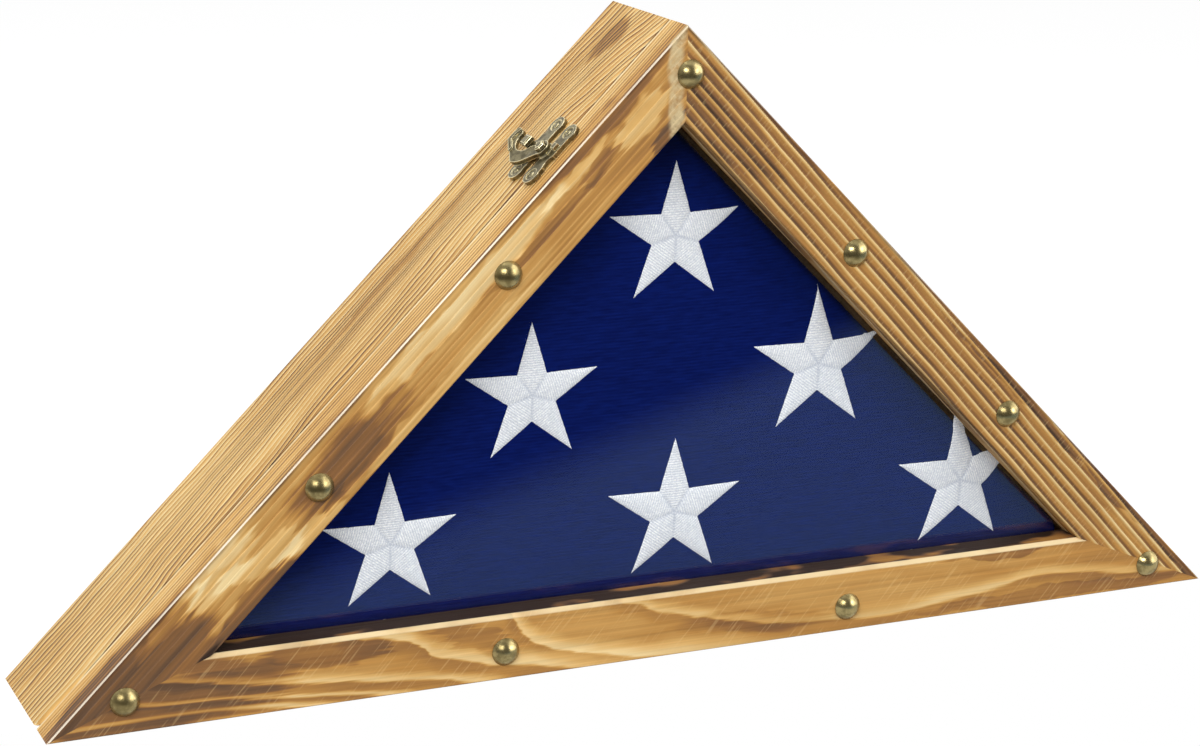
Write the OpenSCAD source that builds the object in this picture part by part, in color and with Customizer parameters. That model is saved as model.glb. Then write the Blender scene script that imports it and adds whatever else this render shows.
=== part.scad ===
// Triangular display case for one folded flag, in torched pine with a hinged, glazed front.
// A mitred box holds the folded flag. A mitred door frame closes it, and hangs on two small
// butt hinges along the base. A cast swing latch on the left slope keeps it shut.
// Millimetres. X runs along the base, Y from the front to the back, and Z up.

/* [Case] */
// Length of the base, from tip to tip
base_len = 650; // [600:5:700]
// Depth of the box behind the door
box_depth = 69.3; // [66:0.1:80]
// Thickness of the three box boards
board_t = 18; // [16:0.5:20]
// Thickness of the back panel
panel_t = 4; // [3:0.5:5]

/* [Door] */
// Width of the door rails across the face
rail_w = 33.8; // [32:0.1:38]
// Thickness of the door rails
door_t = 21.3; // [20:0.1:24]
// Distance of the glass behind the front face
glass_setback = 16.3; // [13:0.1:16.5]
// Thickness of the glass
glass_t = 2; // [1.8:0.1:2.2]
// Gap between the closed door and the box
seam = 0.4; // [0.3:0.1:0.6]
// Diameter of the dome tacks on the face
tack_d = 14.6; // [10:0.1:16]
// Height of the dome tacks
tack_h = 4.8; // [3:0.1:5.5]

/* [Hinges] */
// Distance of each hinge from the middle of the base
hinge_x = 190; // [120:5:230]
// Length of a hinge
hinge_len = 32; // [28:1:40]
// Outer radius of the hinge knuckles
knuckle_r = 2; // [1.8:0.1:2.1]

/* [Latch] */
// Place of the latch, measured up the left slope from its tip
latch_s = 369.6; // [340:0.2:395]
// Thickness of the two cast latch plates
plate_t = 2.6; // [2.2:0.1:2.8]
// Thickness of the hook
hook_t = 2.4; // [2.2:0.1:2.8]

/* [Flag] */
// Length of the two equal sides of the folded flag
flag_leg = 381; // [365:1:385]
// Thickness of the folded flag
flag_t = 60; // [50:0.5:60]
// Width of a star from point to point
star_w = 71; // [60:1:90]

/* [Hidden] */
$fn = 48;
eps = 0.01;
root2 = sqrt(2);
half = base_len / 2; // the apex is a right angle, so this is the height too
side_len = half * root2;
inradius = half * (root2 - 1);
tip_reach = 1 + root2; // an edge moved in by 1 pulls a tip in by this
reach = 2 * base_len; // longer than any cut

// depths, counted back from the front face of the door
box_y = door_t + seam;
back_y = box_y + box_depth;
seam_y = door_t + seam / 2;

// the back panel lies in a rebate
panel_rebate_w = 8;
panel_rebate_d = panel_t + 2;
panel_y = back_y - panel_rebate_d;
panel_play = 0.4;
panel_seat = 0.05;

// the glass lies in a rebate behind the sight edge, and strips hold it
glass_rebate_w = 8;
glass_play = 0.6;
sight_lip = rail_w - glass_rebate_w;
strip_y = glass_setback + glass_t;
strip_t = door_t - strip_y - 0.2;
strip_w = 6.5;
glass_nip = 6; // cut off each sharp tip of the glass

// edges
face_arris = 0.6; // outer front edge of the sloping rails
base_arris = 0.5;
sight_arris = 0.7; // inner front edge of the sloping rails
sill_arris = 1.7; // inner front edge of the base rail
hinge_bevel = 3; // the two bevels under the seam that let the door swing down
tip_wear = [45, 5, 3]; // the worn front corner of each box tip: up the slope, deep, in

// hinges
pin_r = 0.9;
pin_play = 0.05;
leaf_t = 0.9;
leaf_h = 10.8;
knuckles = 5;
knuckle_gap = 0.1;
knuckle_len = hinge_len / knuckles;
axis_z = knuckle_r;
leaf_z = axis_z + knuckle_r + 0.2;
hinge_screw = [1, 2, 10]; // shank radius, head radius, length
hinge_screw_x = 10;
hinge_screw_z = leaf_z + leaf_h / 2;

// the sawtooth hanger on the back of the apex
hanger_w = 46;
hanger_h = 10;
hanger_t = 0.8;
hanger_rise = 2.4;
hanger_z = half - 37;
hanger_flat = 8;
hanger_teeth = 9;
hanger_nail_x = hanger_w / 2 - hanger_flat / 2;

// tacks
// they are set by eye, about 96 apart: from the apex down each slope, then along the base
tack_centres = [
    [2, 301], [97.5, 204.5], [193.5, 109.5], [289.5, 13.5],
    [-93, 208], [-189.5, 111.5], [-287, 16], [-93, 14.5], [101, 13]
];
tack_r = tack_d / 2;
tack_ball = (tack_r * tack_r + tack_h * tack_h) / (2 * tack_h);
tack_shank = [1, 12];

// brads
brad_r = 0.6;
brad_head_r = 1.4;
brad_head_t = 0.4;

// the latch, in millimetres up the slope from latch_s, back from the front face, and out
// of the slope
door_ear = [13.6, 15.9, 5.4]; // place of the round ends of each plate, and their radius
case_ear = [14.8, 33, 5.4];
ear_dish = [3.4, 0.5]; // radius and depth of the dish round each nail
door_scallop = [-4.4, 7.6, 5.2]; // place and radius of the hollow in the front of each plate
case_scallop = [0, 23.6, 5.6];
door_nick = [8.8, 22.9, 2.6]; // and of the two nicks in the back
case_nick = [9.6, 39.6, 2.8];
stop_lug = [2.2, 12.4, 3.4]; // a square lug in front of the pivot
stop_rise = 2;
web_inset = 0.6; // the web between the ears is this much narrower, before and behind
plate_relief_h = 0.4; // gap kept under what overhangs the seam
nail_r = 0.9;
nail_dome_r = 1.7;
pivot = [0, 21.4];
boss_r = 4.8;
boss_rise = 0.6;
knob = [-0.6, 36];
knob_seat_r = 5;
knob_neck_r = 2.6;
knob_head_r = 3; // half the width across its flats
knob_sides = 4;
knob_corner_r = knob_head_r * root2;
rivet_r = 1.5;
rivet_head_r = 3.2;
rivet_sides = 6;
hook_play = 0.1;
hook_h = plate_t + boss_rise + hook_play;
hook_outer = [-1.9, 37.4, 12.2]; // centre and radius of the outside of the curl
hook_flat = [-56, 9.2]; // the curl is cut straight on this side, this far from its centre
hook_inner = [0.1, 37.5, 7]; // and of its inside
hook_mouth = [5, -165]; // where the curl stops, in degrees from straight back
hook_boss_r = 4.4;
hook_tip_r = 2.6;
hook_bend_y = 28; // the curl is bent out from here, to be caught with a finger
hook_bend = 0.15; // by this much in each millimetre
finger_rib_r = 1.1; // rib round the far edge of the curl

// the folded flag
flag_play = 0.3;
flag_front = 3; // behind the front edge of the box
flag_round = 8;
flag_soft = 7; // how far its edges are rounded
flag_y = box_y + flag_front;
flag_base = flag_leg * root2;
star_t = 0.8;
star_ratio = 0.40; // of the inner corners to the points
// centres of the stars, across and up from the middle of the base, in rows from the top
star_centres = [[7, 215.5], [-70, 139], [90.5, 141], [-145, 70.5], [10, 70], [175.5, 68]];

// the origin lies under the middle of the whole case
front_y = (tack_h - back_y - hanger_rise) / 2;

PINE = "#d3a15f";
PINE_DARK = "#8f5f36";
PALE_WOOD = "#e2cfa6";
BOARD_BROWN = "#a98a64";
BRASS = "#7d6f47";
STEEL = "#a9abad";
NAVY = "#141f52";
THREAD = "#eef0f4";
GLASS = "#9fc0cc";

// ---- placing -------------------------------------------------------------------------

// Moves what is drawn from the front face of the door to the origin
module placed() translate([0, front_y, 0]) children();

// Turns [x, y, in] drawn along one edge, from its tip, onto that edge of the triangle
module on_side(side) {
    if (side == "bottom") translate([-half, 0, 0]) children();
    if (side == "left") translate([-half, 0, 0]) rotate([0, -45, 0]) mirror([0, 0, 1]) children();
    if (side == "right") mirror([1, 0, 0]) on_side("left") children();
}

// The share of the triangle that belongs to one edge: its sides are the mitres
module share(side) {
    tip = [-half, 0];
    middle = [0, inradius];
    outline = side == "bottom" ? [tip, [half, 0], middle] : [tip, middle, [0, half]];
    mirror([side == "right" ? 1 : 0, 0, 0])
        rotate([90, 0, 0]) linear_extrude(reach, center = true) polygon(outline);
}

// A profile of [depth, in] points drawn out along an edge
module drawn_out(profile) rotate([90, 0, 90]) linear_extrude(base_len) polygon(profile);

// A length of moulding, mitred at both ends
module mitred(side, profile) intersection() {
    on_side(side) drawn_out(profile);
    share(side);
}

// A flat triangle that lies `in` inside the outer edges
module triangle_plate(in, y, t) translate([0, y + t, 0]) rotate([90, 0, 0]) linear_extrude(t)
    polygon([[-half + in * tip_reach, in], [half - in * tip_reach, in], [0, half - in * root2]]);

// A round nail along +Z with its head's underside at z = 0 and its shank below
module nail(shank_r, len, head_r, head_t) {
    translate([0, 0, -len]) cylinder(r = shank_r, h = len + eps);
    cylinder(r = head_r, h = head_t);
}

// ---- the box ---------------------------------------------------------------------------

// Section of a box board: square, with a rebate for the panel, and a bevel under the seam
function board_profile(front_bevel, arris) = [
    [box_y + front_bevel, 0],
    [back_y - arris, 0],
    [back_y, arris],
    [back_y, board_t - panel_rebate_w],
    [panel_y, board_t - panel_rebate_w],
    [panel_y, board_t],
    [box_y, board_t],
    [box_y, front_bevel]
];

// The corner of a box tip, worn away in a long taper up the slope
module worn_tip(side) on_side(side) translate([0, box_y, 0]) {
    run = tip_wear[0];
    deep = tip_wear[1];
    in = tip_wear[2];
    polyhedron(
        [[-deep, -eps, -eps], [-deep, deep, -eps], [-deep, -eps, in], [run, -eps, -eps]],
        [[0, 1, 2], [0, 3, 1], [1, 3, 2], [0, 2, 3]]
    );
}

module case_board(side) color(PINE) placed() difference() {
    mitred(side, board_profile(side == "bottom" ? hinge_bevel : base_arris, base_arris));
    if (side == "bottom") hinge_gains();
    worn_tip("left");
    worn_tip("right");
}

// A headed brad set flush in the outer face that it is driven through
module inward_brad(length) rotate([180, 0, 0])
    translate([0, 0, -brad_head_t]) nail(brad_r, length, brad_head_r, brad_head_t);

// Brads that pin the mitres: up through the base at the tips, and down across the apex
module corner_brads() color(STEEL) placed() {
    tip_x = half - 34;
    for (y = [box_y + 18, back_y - 18]) {
        for (x = [-tip_x, tip_x]) translate([x, y, 0]) inward_brad(24);
        on_side("right") translate([side_len - 9, y, 0]) inward_brad(26);
    }
}

module back_panel() color(BOARD_BROWN) placed()
    triangle_plate(board_t - panel_rebate_w + panel_play, panel_y + panel_seat, panel_t);

// A brad through the edge of the panel into the floor of its rebate, `s` from the tip
module panel_brad(s) translate([s, panel_y + panel_t, board_t - panel_rebate_w / 2])
    rotate([-90, 0, 0]) nail(brad_r, 14, brad_head_r, brad_head_t);

module back_panel_brads() color(STEEL) placed() {
    for (k = [-2:2]) on_side("bottom") panel_brad(half + k * 110);
    for (side = ["left", "right"])
        for (k = [1:4]) on_side(side) panel_brad(side_len * k / 4 - 30);
}

// A stamped strip, bowed off the wood, with teeth along its lower edge
module sawtooth_hanger() color(STEEL) placed() {
    reach_x = hanger_w / 2;
    bow_x = reach_x - hanger_flat;
    top_x = bow_x - 3;
    lift = hanger_rise - hanger_t;
    pitch = 2 * top_x / hanger_teeth;
    strip = [
        [-reach_x, 0], [-bow_x, 0], [-top_x, lift], [top_x, lift], [bow_x, 0], [reach_x, 0],
        [reach_x, hanger_t], [bow_x, hanger_t], [top_x, hanger_rise], [-top_x, hanger_rise],
        [-bow_x, hanger_t], [-reach_x, hanger_t]
    ];
    difference() {
        translate([0, back_y, hanger_z]) linear_extrude(hanger_h) polygon(strip);
        for (k = [0:hanger_teeth - 1])
            translate([-top_x + (k + 0.5) * pitch, back_y + hanger_rise + eps, hanger_z])
                rotate([90, 0, 0]) linear_extrude(lift + hanger_t)
                    polygon([[-pitch * 0.45, -eps], [pitch * 0.45, -eps], [0, 2.6]]);
        for (x = [-hanger_nail_x, hanger_nail_x])
            translate([x, back_y - eps, hanger_z + hanger_h / 2])
                rotate([-90, 0, 0]) cylinder(r = nail_r, h = hanger_t + 2 * eps);
    }
}

module hanger_nails() color(STEEL) placed()
    for (x = [-hanger_nail_x, hanger_nail_x])
        translate([x, back_y + hanger_t, hanger_z + hanger_h / 2]) rotate([-90, 0, 0])
            nail(nail_r, 14, 2.2, 0.9);

// ---- the folded flag ----------------------------------------------------------------------

// Outline of the folded flag, its corners rounded, drawn in by `less`
module flag_outline(less) {
    tip = flag_base / 2 - (flag_round + less) * tip_reach;
    top = flag_base / 2 - (flag_round + less) * root2;
    for (corner = [[-tip, flag_round + less], [tip, flag_round + less], [0, top]])
        translate(corner) circle(r = flag_round, $fn = 20);
}

// A folded triangle of cotton: a thick pad with rounded edges
module folded_flag() color(NAVY) placed() translate([0, flag_y + flag_t, board_t + flag_play])
    rotate([90, 0, 0]) hull() {
        linear_extrude(flag_t) flag_outline(flag_soft);
        translate([0, 0, flag_soft]) linear_extrude(flag_t - 2 * flag_soft) flag_outline(0);
    }

function star_point(k, r) = [r * sin(36 * k), r * cos(36 * k)];

// Five-pointed star, one point up, its centre at the origin
module star() {
    r = star_w / (2 * sin(72));
    linear_extrude(star_t) polygon([for (k = [0:9]) star_point(k, k % 2 == 0 ? r : r * star_ratio)]);
}

// One, two and three stars in rows, sewn on the face of the flag and cut off at its fold
module flag_stars() color(THREAD) placed() intersection() {
    for (at = star_centres) translate([at[0], flag_y, at[1]]) rotate([90, 0, 0]) star();
    translate([0, flag_y + 1, board_t + flag_play]) rotate([90, 0, 0])
        hull() linear_extrude(2 + star_t) flag_outline(flag_soft);
}

// ---- the door -------------------------------------------------------------------------------

// Section of a door rail: bevelled front edges, and a rebate behind the sight edge
function rail_profile(outer, inner, back) = [
    [0, outer],
    [outer, 0],
    [door_t - back, 0],
    [door_t, back],
    [door_t, sight_lip],
    [glass_setback, sight_lip],
    [glass_setback, rail_w],
    [inner, rail_w],
    [0, rail_w - inner]
];

module door_rail(side) color(side == "right" ? PINE_DARK : PINE) placed() difference() {
    mitred(side, side == "bottom" ? rail_profile(base_arris, sill_arris, hinge_bevel)
                                  : rail_profile(face_arris, sight_arris, base_arris));
    if (side == "bottom") hinge_gains();
}

// V-shaped nail pressed across a mitre from the back of the frame
module vee() {
    leg = 6;
    t = 0.5;
    rotate([90, 0, 0]) linear_extrude(9)
        polygon([[0, 0], [leg, leg], [leg - t, leg + t], [0, 2 * t], [-leg + t, leg + t], [-leg, leg]]);
}

module door_corner_nails() color(STEEL) placed() {
    in = 17;
    translate([0, door_t, half - in * root2]) vee();
    for (side = [-1, 1])
        translate([side * (half - in * tip_reach), door_t, in]) rotate([0, side * 112.5, 0]) vee();
}

// The pane, with its sharp tips nipped off
module glass_pane() color(GLASS, 0.35) placed() {
    in = sight_lip + glass_play;
    intersection() {
        triangle_plate(in, glass_setback, glass_t);
        translate([0, glass_setback, half / 2])
            cube([2 * (half - in * tip_reach - glass_nip), 4 * glass_t, base_len], center = true);
    }
}

module glazing_strip(side) color(PALE_WOOD) placed() mitred(side, [
    [strip_y, sight_lip],
    [strip_y + strip_t, sight_lip],
    [strip_y + strip_t, sight_lip + strip_w - 1],
    [strip_y + strip_t - 1, sight_lip + strip_w],
    [strip_y, sight_lip + strip_w]
]);

// Brad through a glazing strip into the rail, `s` from the tip
module strip_brad(s) translate([s, strip_y + strip_t / 2, sight_lip + strip_w]) nail(0.5, 16, 0.9, 0.3);

module glazing_brads() color(STEEL) placed() {
    for (k = [-1:1]) on_side("bottom") strip_brad(half + k * 150);
    for (side = ["left", "right"])
        for (k = [-1:1]) on_side(side) strip_brad(side_len / 2 + 16 + k * 95);
}

// A domed head on a round shank, its dome towards the front
module tack() rotate([90, 0, 0]) {
    translate([0, 0, -tack_shank[1]]) cylinder(r = tack_shank[0], h = tack_shank[1] + eps);
    intersection() {
        translate([0, 0, tack_h - tack_ball]) sphere(r = tack_ball);
        cylinder(r = tack_ball, h = tack_ball);
    }
}

// Nine tacks: one at the apex, one at each tip, and two between along each rail
module face_tacks() color(BRASS) placed()
    for (at = tack_centres) translate([at[0], 0, at[1]]) tack();

// ---- hinges ------------------------------------------------------------------------------------

// Pockets in the two base pieces for both hinges
module hinge_gains() for (x = [-hinge_x, hinge_x]) translate([x, seam_y, 0]) {
    wide = hinge_len + 0.4;
    deep = seam / 2 + leaf_t;
    translate([-wide / 2, -deep, -eps]) cube([wide, 2 * deep, leaf_z + leaf_h + 0.1]);
    translate([-wide / 2, 0, axis_z]) rotate([0, 90, 0]) cylinder(r = knuckle_r + 0.3, h = wide);
}

// One leaf with its knuckles. `way` is -1 for the door's leaf and 1 for the box's
module hinge_leaf(x, way) color(BRASS) placed() translate([x, seam_y, axis_z]) {
    first = way > 0 ? 0 : 1;
    bore = way > 0 ? pin_r : pin_r + pin_play;
    from_y = way > 0 ? seam / 2 : -seam / 2 - leaf_t;
    low = leaf_z - axis_z;
    difference() {
        union() {
            translate([-hinge_len / 2, from_y, low]) cube([hinge_len, leaf_t, leaf_h]);
            for (k = [first:2:knuckles - 1]) translate([-hinge_len / 2 + k * knuckle_len, 0, 0]) {
                span = knuckle_len - knuckle_gap;
                translate([knuckle_gap / 2, 0, 0]) rotate([0, 90, 0]) cylinder(r = knuckle_r, h = span);
                translate([knuckle_gap / 2, from_y, 0]) cube([span, leaf_t, low + eps]);
            }
        }
        translate([-hinge_len / 2 - 1, 0, 0]) rotate([0, 90, 0]) cylinder(r = bore, h = hinge_len + 2);
        for (side = [-1, 1])
            translate([side * hinge_screw_x, way * (seam / 2 - eps), hinge_screw_z - axis_z])
                rotate([-90 * way, 0, 0])
                    cylinder(r1 = hinge_screw[1] + eps, r2 = hinge_screw[0], h = leaf_t + 2 * eps);
    }
}

module hinge_pin(x) color(BRASS) placed() translate([x - hinge_len / 2, seam_y, axis_z])
    rotate([0, 90, 0]) cylinder(r = pin_r, h = hinge_len);

// Two countersunk screws in each leaf
module hinge_screws(way) color(BRASS) placed()
    for (x = [-hinge_x, hinge_x])
        for (side = [-1, 1])
            translate([x + side * hinge_screw_x, seam_y + way * seam / 2, hinge_screw_z])
                rotate([-90 * way, 0, 0]) {
                    cylinder(r1 = hinge_screw[1], r2 = hinge_screw[0], h = leaf_t);
                    cylinder(r = hinge_screw[0], h = hinge_screw[2]);
                }

// ---- latch --------------------------------------------------------------------------------------

// Draws on the left slope: x up the slope, y back, z out of the wood
module on_slope() placed() on_side("left") translate([latch_s, 0, 0]) mirror([0, 0, 1]) children();

module ears(at) for (side = [-1, 1]) translate([side * at[0], at[1], 0]) children();

// A cast plate: two round ears joined by a web, scalloped in front and nicked behind
module latch_plate(ear, scallop, nick) difference() {
    union() {
        ears(ear) cylinder(r = ear[2], h = plate_t);
        translate([-ear[0], ear[1] - ear[2] + web_inset, 0])
            cube([2 * ear[0], 2 * (ear[2] - web_inset), plate_t]);
        children();
    }
    translate([scallop[0], scallop[1], -1]) cylinder(r = scallop[2], h = plate_t + 2);
    for (side = [-1, 1])
        translate([side * nick[0], nick[1], -1]) cylinder(r = nick[2], h = plate_t + 2);
    ears(ear) {
        translate([0, 0, -1]) cylinder(r = nail_r, h = plate_t + 2);
        translate([0, 0, plate_t - ear_dish[1]]) cylinder(r = ear_dish[0], h = 1);
    }
}

module latch_door_plate() color(BRASS) on_slope() difference() {
    latch_plate(door_ear, door_scallop, door_nick) {
        translate([pivot[0], pivot[1], 0]) cylinder(r = boss_r, h = plate_t + boss_rise);
        translate([stop_lug[0], stop_lug[1], 0])
            cube([stop_lug[2], stop_lug[2], plate_t + stop_rise]);
    }
    translate([pivot[0], pivot[1], -1]) cylinder(r = rivet_r, h = plate_t + boss_rise + 2);
    // the boss overhangs the seam, so it is relieved underneath
    translate([-boss_r - 1, door_t, -1]) cube([2 * boss_r + 2, 2 * boss_r, 1 + plate_relief_h]);
}

module latch_case_plate() color(BRASS) on_slope() difference() {
    latch_plate(case_ear, case_scallop, case_nick)
        translate([knob[0], knob[1], 0]) cylinder(r = knob_seat_r, h = plate_t);
    translate([knob[0], knob[1], -1]) cylinder(r = rivet_r, h = plate_t + 2);
}

// Two dome-headed nails that sit in the dishes of a plate
module latch_nails(ear) color(BRASS) on_slope() ears(ear)
    translate([0, 0, plate_t - ear_dish[1]]) rotate_extrude() polygon([
        [0, -12], [nail_r, -11], [nail_r, 0], [nail_dome_r, 0], [nail_dome_r * 0.85, 0.4],
        [nail_dome_r * 0.5, 0.7], [0, 0.8]
    ]);

module latch_door_nails() latch_nails(door_ear);

module latch_case_nails() latch_nails(case_ear);

// The pivot: a round tail through the plate, and a six-sided head over the hook
module latch_rivet() color(BRASS) on_slope() translate([pivot[0], pivot[1], 0]) {
    head_h = hook_h + hook_t + hook_play;
    translate([0, 0, plate_relief_h]) cylinder(r = rivet_r, h = head_h - plate_relief_h + eps);
    translate([0, 0, head_h]) cylinder(r = rivet_head_r, h = 1.5, $fn = rivet_sides);
    translate([0, 0, head_h + 1.5])
        cylinder(r1 = rivet_head_r, r2 = rivet_head_r - 1, h = 0.7, $fn = rivet_sides);
}

// A turned post with a waist for the hook, and a thick square head
module latch_knob() color(BRASS) on_slope() translate([knob[0], knob[1], 0]) {
    head_h = hook_h + hook_t + 0.3;
    rotate_extrude() polygon([
        [0, 0], [rivet_r, 0], [rivet_r, plate_t], [knob_head_r, plate_t],
        [knob_head_r, plate_t + 0.3], [knob_neck_r, plate_t + 0.6], [knob_neck_r, head_h + 0.5],
        [0, head_h + 0.5]
    ]);
    rotate([0, 0, 45]) {
        translate([0, 0, head_h]) cylinder(r = knob_corner_r, h = 2, $fn = knob_sides);
        translate([0, 0, head_h + 2])
            cylinder(r1 = knob_corner_r, r2 = knob_corner_r - 1.2, h = 0.8, $fn = knob_sides);
    }
}

function around(ring, angle, r) = [ring[0] + r * sin(angle), ring[1] + r * cos(angle)];

// The round blank that the curl is cut from, with one side cut straight
module curl_blank(r, h) difference() {
    translate([hook_outer[0], hook_outer[1], 0]) cylinder(r = r, h = h);
    translate([hook_outer[0], hook_outer[1], -1]) rotate([0, 0, -hook_flat[0]])
        translate([-r - 1, r + hook_flat[1] - hook_outer[2], 0]) cube([2 * r + 2, r, h + 2]);
}

// Plan of the hook: a boss, an arm, and a curl round the knob, open towards the apex
module hook_plan(h) {
    centre = [hook_inner[0], hook_inner[1]];
    tip = around(hook_inner, hook_mouth[0], (hook_inner[2] + hook_outer[2]) / 2);
    difference() {
        union() {
            translate([pivot[0], pivot[1], 0]) cylinder(r = hook_boss_r, h = h);
            linear_extrude(h) polygon([
                pivot + [-4.35, -0.6],
                pivot + [4.1, 1.5],
                around(hook_inner, -155, hook_inner[2] - 0.4),
                around(hook_outer, -115, hook_outer[2])
            ]);
            difference() {
                curl_blank(hook_outer[2], h);
                translate([0, 0, -1]) linear_extrude(h + 2) polygon([
                    centre,
                    around(hook_inner, hook_mouth[0], 40),
                    around(hook_inner, 90, 60),
                    around(hook_inner, hook_mouth[1], 40)
                ]);
            }
            translate([tip[0], tip[1], 0]) cylinder(r = hook_tip_r, h = h);
        }
        translate([centre[0], centre[1], -1]) cylinder(r = hook_inner[2], h = h + 2);
        translate([pivot[0], pivot[1], -1]) cylinder(r = rivet_r + pin_play, h = h + 2);
    }
}

// Side view of the hook, [back, out]: flat over the plates, and then bent out
function hook_side(grow) = [
    [pivot[1] - 10, hook_h],
    [hook_bend_y, hook_h],
    [hook_bend_y + 30, hook_h + 30 * hook_bend],
    [hook_bend_y + 30, hook_h + 30 * hook_bend + hook_t + grow],
    [hook_bend_y, hook_h + hook_t + grow],
    [pivot[1] - 10, hook_h + hook_t + grow]
];

module hook_bent(grow) intersection() {
    hook_plan(30);
    translate([-30, 0, 0]) rotate([90, 0, 90]) linear_extrude(60) polygon(hook_side(grow));
}

module latch_hook() color(BRASS) on_slope() {
    hook_bent(0);
    // a rib stands up along the back of the curl for the finger
    intersection() {
        hook_bent(0.9);
        difference() {
            curl_blank(hook_outer[2], 30);
            translate([0, 0, -1]) curl_blank(hook_outer[2] - 2 * finger_rib_r, 32);
            translate([-30, -12, -1]) cube([60, 40 + hook_bend_y / 2, 32]);
        }
    }
}

// ---- what is drawn ----------------------------------------------------------------------------------

case_board("left");  // case_board_left
case_board("right");  // case_board_right
case_board("bottom");  // case_board_bottom
corner_brads();
back_panel();
back_panel_brads();
sawtooth_hanger();
hanger_nails();
folded_flag();
flag_stars();
door_rail("left");  // door_rail_left
door_rail("right");  // door_rail_right
door_rail("bottom");  // door_rail_bottom
door_corner_nails();
glass_pane();
glazing_strip("left");  // glazing_strip_left
glazing_strip("right");  // glazing_strip_right
glazing_strip("bottom");  // glazing_strip_bottom
glazing_brads();
face_tacks();
hinge_leaf(-hinge_x, 1);  // hinge_case_leaf_left
hinge_leaf(hinge_x, 1);  // hinge_case_leaf_right
hinge_leaf(-hinge_x, -1);  // hinge_door_leaf_left
hinge_leaf(hinge_x, -1);  // hinge_door_leaf_right
hinge_pin(-hinge_x);  // hinge_pin_left
hinge_pin(hinge_x);  // hinge_pin_right
hinge_screws(1);  // hinge_case_screws
hinge_screws(-1);  // hinge_door_screws
latch_door_plate();
latch_door_nails();
latch_rivet();
latch_hook();
latch_case_plate();
latch_case_nails();
latch_knob();
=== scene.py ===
"""Folded flag display case in torched pine, with a hinged glazed door, dome tacks and a swing latch."""
import math

import bmesh
import bpy
from mathutils import Matrix, Vector, noise
from mathutils.bvhtree import BVHTree


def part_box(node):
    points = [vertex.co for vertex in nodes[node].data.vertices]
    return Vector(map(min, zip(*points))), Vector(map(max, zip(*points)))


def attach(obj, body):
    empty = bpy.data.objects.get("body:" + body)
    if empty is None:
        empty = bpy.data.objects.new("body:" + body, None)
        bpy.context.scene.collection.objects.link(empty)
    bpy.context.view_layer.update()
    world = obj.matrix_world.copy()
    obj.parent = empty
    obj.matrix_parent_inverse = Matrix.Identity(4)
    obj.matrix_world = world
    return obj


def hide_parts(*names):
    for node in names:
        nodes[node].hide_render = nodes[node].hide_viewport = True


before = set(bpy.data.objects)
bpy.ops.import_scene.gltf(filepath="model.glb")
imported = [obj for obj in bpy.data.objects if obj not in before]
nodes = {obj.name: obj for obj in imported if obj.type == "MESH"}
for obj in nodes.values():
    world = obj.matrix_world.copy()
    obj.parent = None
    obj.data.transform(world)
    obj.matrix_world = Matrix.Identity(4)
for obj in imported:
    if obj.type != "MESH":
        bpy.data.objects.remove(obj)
scene = bpy.context.scene
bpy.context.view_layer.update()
scene.view_settings.view_transform = "Standard"


# ---- Camera ----------------------------------------------------------------------------
# A long lens a metre and a half away, to the left of the case and a little above it,
# turned less than a degree off level.
CAMERA_PLACE = Vector((-0.5851, -1.2694, 0.5203))
CAMERA_LOOK = Vector((0.38988, 0.88237, -0.26349))
CAMERA_ROLL = math.radians(0.935)
CAMERA_LENS = 84.255  # focal length and film width in millimetres
CAMERA_FILM = 36

lens = bpy.data.cameras.new("camera")
lens.lens = CAMERA_LENS
lens.sensor_width = CAMERA_FILM
camera = bpy.data.objects.new("camera", lens)
scene.collection.objects.link(camera)
level = CAMERA_LOOK.cross(Vector((0, 0, 1))).normalized()
rise = level.cross(CAMERA_LOOK)
across = level * math.cos(CAMERA_ROLL) + rise * math.sin(CAMERA_ROLL)
upward = rise * math.cos(CAMERA_ROLL) - level * math.sin(CAMERA_ROLL)
turned = Matrix((across, upward, -CAMERA_LOOK)).transposed()
camera.matrix_world = Matrix.Translation(CAMERA_PLACE) @ turned.to_4x4()
scene.camera = camera


# ---- Floor, backdrop and lamps ---------------------------------------------------------
# A white floor that runs out of sight, a wide soft lamp above and to the left, a weaker one to
# the right, a third overhead, and an even sky. A square of floor in front of the case can be
# seen through, because the open door hangs lower than the case stands.
FLOOR_SIZE = 30.0
FLOOR_GREY = (0.24, 0.24, 0.24, 1)
FLOOR_GLOW = 0.82  # light of its own that only the eye sees, also through glass
SHELF_EDGE = round(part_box("case_board_bottom")[0][1], 4)  # the see-through square starts here
SHELF_CUT = 1.2  # how far it runs to the front and to each side
SHELF_BLUR = 0.001
WHITE = (1, 1, 1, 1)
# painted reflection: glass and brass alone see the floor glow, dim with a paler pool in it, and bright
# close by
POOL_BLUE = (0.5, 0.72, 1, 1)
POOL_TURN = math.radians(35)
POOL_EDGE = 0.218  # how far the pool's straight edge lies from the middle of the case
POOL_GLOW = 0.42
POOL_DIM = 0.02
NEAR_GLOW = 0.9
# the sky is white to the eye, and shiny things see a room that is dark behind the camera
SKY_GLOW = 0.55
ROOM_GLOW = (1.0, 0.06)  # ahead of the camera and behind it
WINDOW = (0.889, -0.336, 0.312)  # the way to a bright window
WINDOW_GLOW = 2.4
LAMP_AIM = Vector((0, 0, 0.15))


def new_material(name):
    """A material with its node tree emptied, and that tree."""
    made = bpy.data.materials.new(name)
    made.use_nodes = True
    made.node_tree.nodes.clear()
    return made, made.node_tree


def feed(tree, socket, value):
    """Links an input to another node's output, or gives it a plain value; None leaves it alone."""
    if isinstance(value, bpy.types.NodeSocket):
        tree.links.new(value, socket)
    elif value is not None:
        socket.default_value = value


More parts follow.
